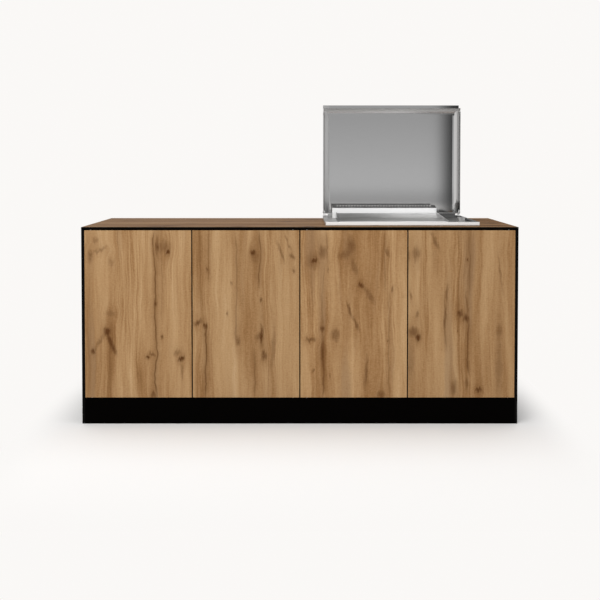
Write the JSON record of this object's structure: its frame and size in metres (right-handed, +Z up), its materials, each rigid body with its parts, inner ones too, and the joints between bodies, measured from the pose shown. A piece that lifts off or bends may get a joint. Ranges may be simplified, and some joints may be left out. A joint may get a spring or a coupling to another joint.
{
  "type": "outdoor kitchen",
  "caption": "Free-standing outdoor kitchen: a low cabinet with push-to-open pivot doors and a lidded gas griddle let into its worktop.",
  "frame": {"origin": "on the floor, at the middle of the footprint", "axes": "+X along the cabinet to the right as seen from the front, +Y from the doors to the back, +Z up"},
  "size_m": [2, 0.7, 1.502],
  "materials": {
    "oak_board": "knotty oak decor on a black-cored board, satin",
    "black_board": "black-cored board, satin",
    "stainless": "finely brushed",
    "plate_steel": "ground cooking surface",
    "zinc_steel": "zinc plated",
    "knob_steel": "polished",
    "brass": "machined",
    "pipe_metal": "drawn tube",
    "black_plastic": "moulded, fine grain",
    "foam_seal": "closed-cell foam"
  },
  "bodies": {
    "cabinet": {"worktop": "oak_board", "side_panel_left": "black_board", "side_panel_right": "black_board", "centre_partition": "black_board", "plinth": "black_board", "base_deck": "black_board", "back_panel_left": "black_board", "back_panel_right": "black_board", "front_rail_left": "black_board", "front_rail_right": "black_board", "rear_rail_left": "black_board", "rear_rail_right": "black_board", "shelf": "black_board", "grill_frame": "stainless", "flue_box": "stainless", "flue_cover": "stainless", "burner_tub": "stainless", "plate_rails": "stainless", "grease_cup": "stainless", "burner": "stainless", "burner_saddles": "stainless", "hinge_ears": "stainless", "hinge_pins": "stainless", "ear_screws": "stainless", "cooking_plate": "plate_steel", "corner_brackets": "zinc_steel", "bracket_screws": "zinc_steel", "shelf_pins": "zinc_steel", "clamp_studs": "zinc_steel", "clamp_bars": "zinc_steel", "clamp_nuts": "zinc_steel", "gas_valve": "brass", "gas_inlet": "brass", "gas_pipe": "pipe_metal", "latch_bodies": "black_plastic", "levelling_feet": "black_plastic", "foot_sockets": "black_plastic", "pivot_bushes": "black_plastic", "frame_gasket": "foam_seal"},
    "door_far_left": {"door_far_left": "oak_board", "pivot_pins_far_left": "zinc_steel", "strike_far_left": "zinc_steel"},
    "door_mid_left": {"door_mid_left": "oak_board", "pivot_pins_mid_left": "zinc_steel", "strike_mid_left": "zinc_steel"},
    "door_mid_right": {"door_mid_right": "oak_board", "pivot_pins_mid_right": "zinc_steel", "strike_mid_right": "zinc_steel"},
    "door_far_right": {"door_far_right": "oak_board", "pivot_pins_far_right": "zinc_steel", "strike_far_right": "zinc_steel"},
    "plunger_far_left": {"plunger_far_left": "black_plastic"},
    "plunger_mid_left": {"plunger_mid_left": "black_plastic"},
    "plunger_mid_right": {"plunger_mid_right": "black_plastic"},
    "plunger_far_right": {"plunger_far_right": "black_plastic"},
    "push_collar": {"thrust_collar": "brass"},
    "knob": {"control_knob": "knob_steel", "valve_spindle": "zinc_steel"},
    "lid": {"lid": "stainless"}
  },
  "joints": [
    {"name": "door_far_left_swing", "type": "hinge", "parent": "cabinet", "child": "door_far_left", "pos_m": [-0.956, -0.344, 0.5055], "axis": [0, 0, -1], "range_deg": [0, 90]},
    {"name": "door_mid_left_swing", "type": "hinge", "parent": "cabinet", "child": "door_mid_left", "pos_m": [-0.032, -0.344, 0.5055], "axis": [0, 0, 1], "range_deg": [0, 90]},
    {"name": "door_mid_right_swing", "type": "hinge", "parent": "cabinet", "child": "door_mid_right", "pos_m": [0.032, -0.344, 0.5055], "axis": [0, 0, -1], "range_deg": [0, 90]},
    {"name": "door_far_right_swing", "type": "hinge", "parent": "cabinet", "child": "door_far_right", "pos_m": [0.956, -0.344, 0.5055], "axis": [0, 0, 1], "range_deg": [0, 90]},
    {"name": "plunger_far_left_press", "type": "slide", "parent": "cabinet", "child": "plunger_far_left", "axis": [0, 1, 0], "range_m": [0, 0.003], "stiffness_N_per_m": 400, "springref_m": -0.004},
    {"name": "plunger_mid_left_press", "type": "slide", "parent": "cabinet", "child": "plunger_mid_left", "axis": [0, 1, 0], "range_m": [0, 0.003], "stiffness_N_per_m": 400, "springref_m": -0.004},
    {"name": "plunger_mid_right_press", "type": "slide", "parent": "cabinet", "child": "plunger_mid_right", "axis": [0, 1, 0], "range_m": [0, 0.003], "stiffness_N_per_m": 400, "springref_m": -0.004},
    {"name": "plunger_far_right_press", "type": "slide", "parent": "cabinet", "child": "plunger_far_right", "axis": [0, 1, 0], "range_m": [0, 0.003], "stiffness_N_per_m": 400, "springref_m": -0.004},
    {"name": "knob_push", "type": "slide", "parent": "cabinet", "child": "push_collar", "axis": [0, 0, -1], "range_m": [0, 0.003], "stiffness_N_per_m": 2000, "springref_m": -0.005},
    {"name": "knob_turn", "type": "hinge", "parent": "push_collar", "child": "knob", "pos_m": [0.761, -0.2, 0.9], "axis": [0, 0, 1], "range_deg": [0, 180]},
    {"name": "lid_swing", "type": "hinge", "parent": "cabinet", "child": "lid", "pos_m": [0.481, 0.302, 0.941], "axis": [1, 0, 0], "range_deg": [0, 90]}
  ]
}
